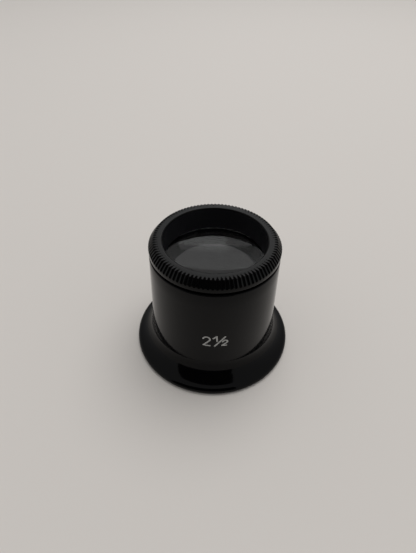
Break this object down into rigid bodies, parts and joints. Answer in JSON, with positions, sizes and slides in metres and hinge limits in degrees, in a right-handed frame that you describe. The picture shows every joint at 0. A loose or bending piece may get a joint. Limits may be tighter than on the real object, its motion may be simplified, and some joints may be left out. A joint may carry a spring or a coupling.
{
  "type": "watchmaker loupe",
  "caption": "Watchmaker's eye loupe: a flared moulded eyecup, a biconvex glass lens, and a serrated ring that screws in over the lens to hold it.",
  "frame": {"origin": "on the optical axis, in the plane of the rim that rests on the table", "axes": "+Z along the optical axis, from the eye side to the lens side; the printed number faces -Y"},
  "size_m": [0.036, 0.036, 0.0288],
  "materials": {
    "eyecup_plastic": "black moulded thermoplastic, satin gloss",
    "ring_plastic": "black moulded thermoplastic, finely grained top face and smooth band",
    "lens_glass": "polished crown glass with ground edge"
  },
  "bodies": {
    "eyecup": {"eyecup": "eyecup_plastic"},
    "lens": {"lens": "lens_glass"},
    "ring": {"lens_ring": "ring_plastic"}
  },
  "joints": [
    {"name": "lens_lift", "type": "slide", "parent": "eyecup", "child": "lens", "axis": [0, 0, 1], "range_m": [0, 0.00169]},
    {"name": "ring_turn", "type": "hinge", "parent": "lens", "child": "ring", "pos_m": [0, 0, 0.0266], "axis": [0, 0, 1], "range_deg": [0, 810]}
  ],
  "couplings": [
    {"joint": "lens_lift", "follows": "ring_turn", "m_per_rad": 0.00011937}
  ]
}
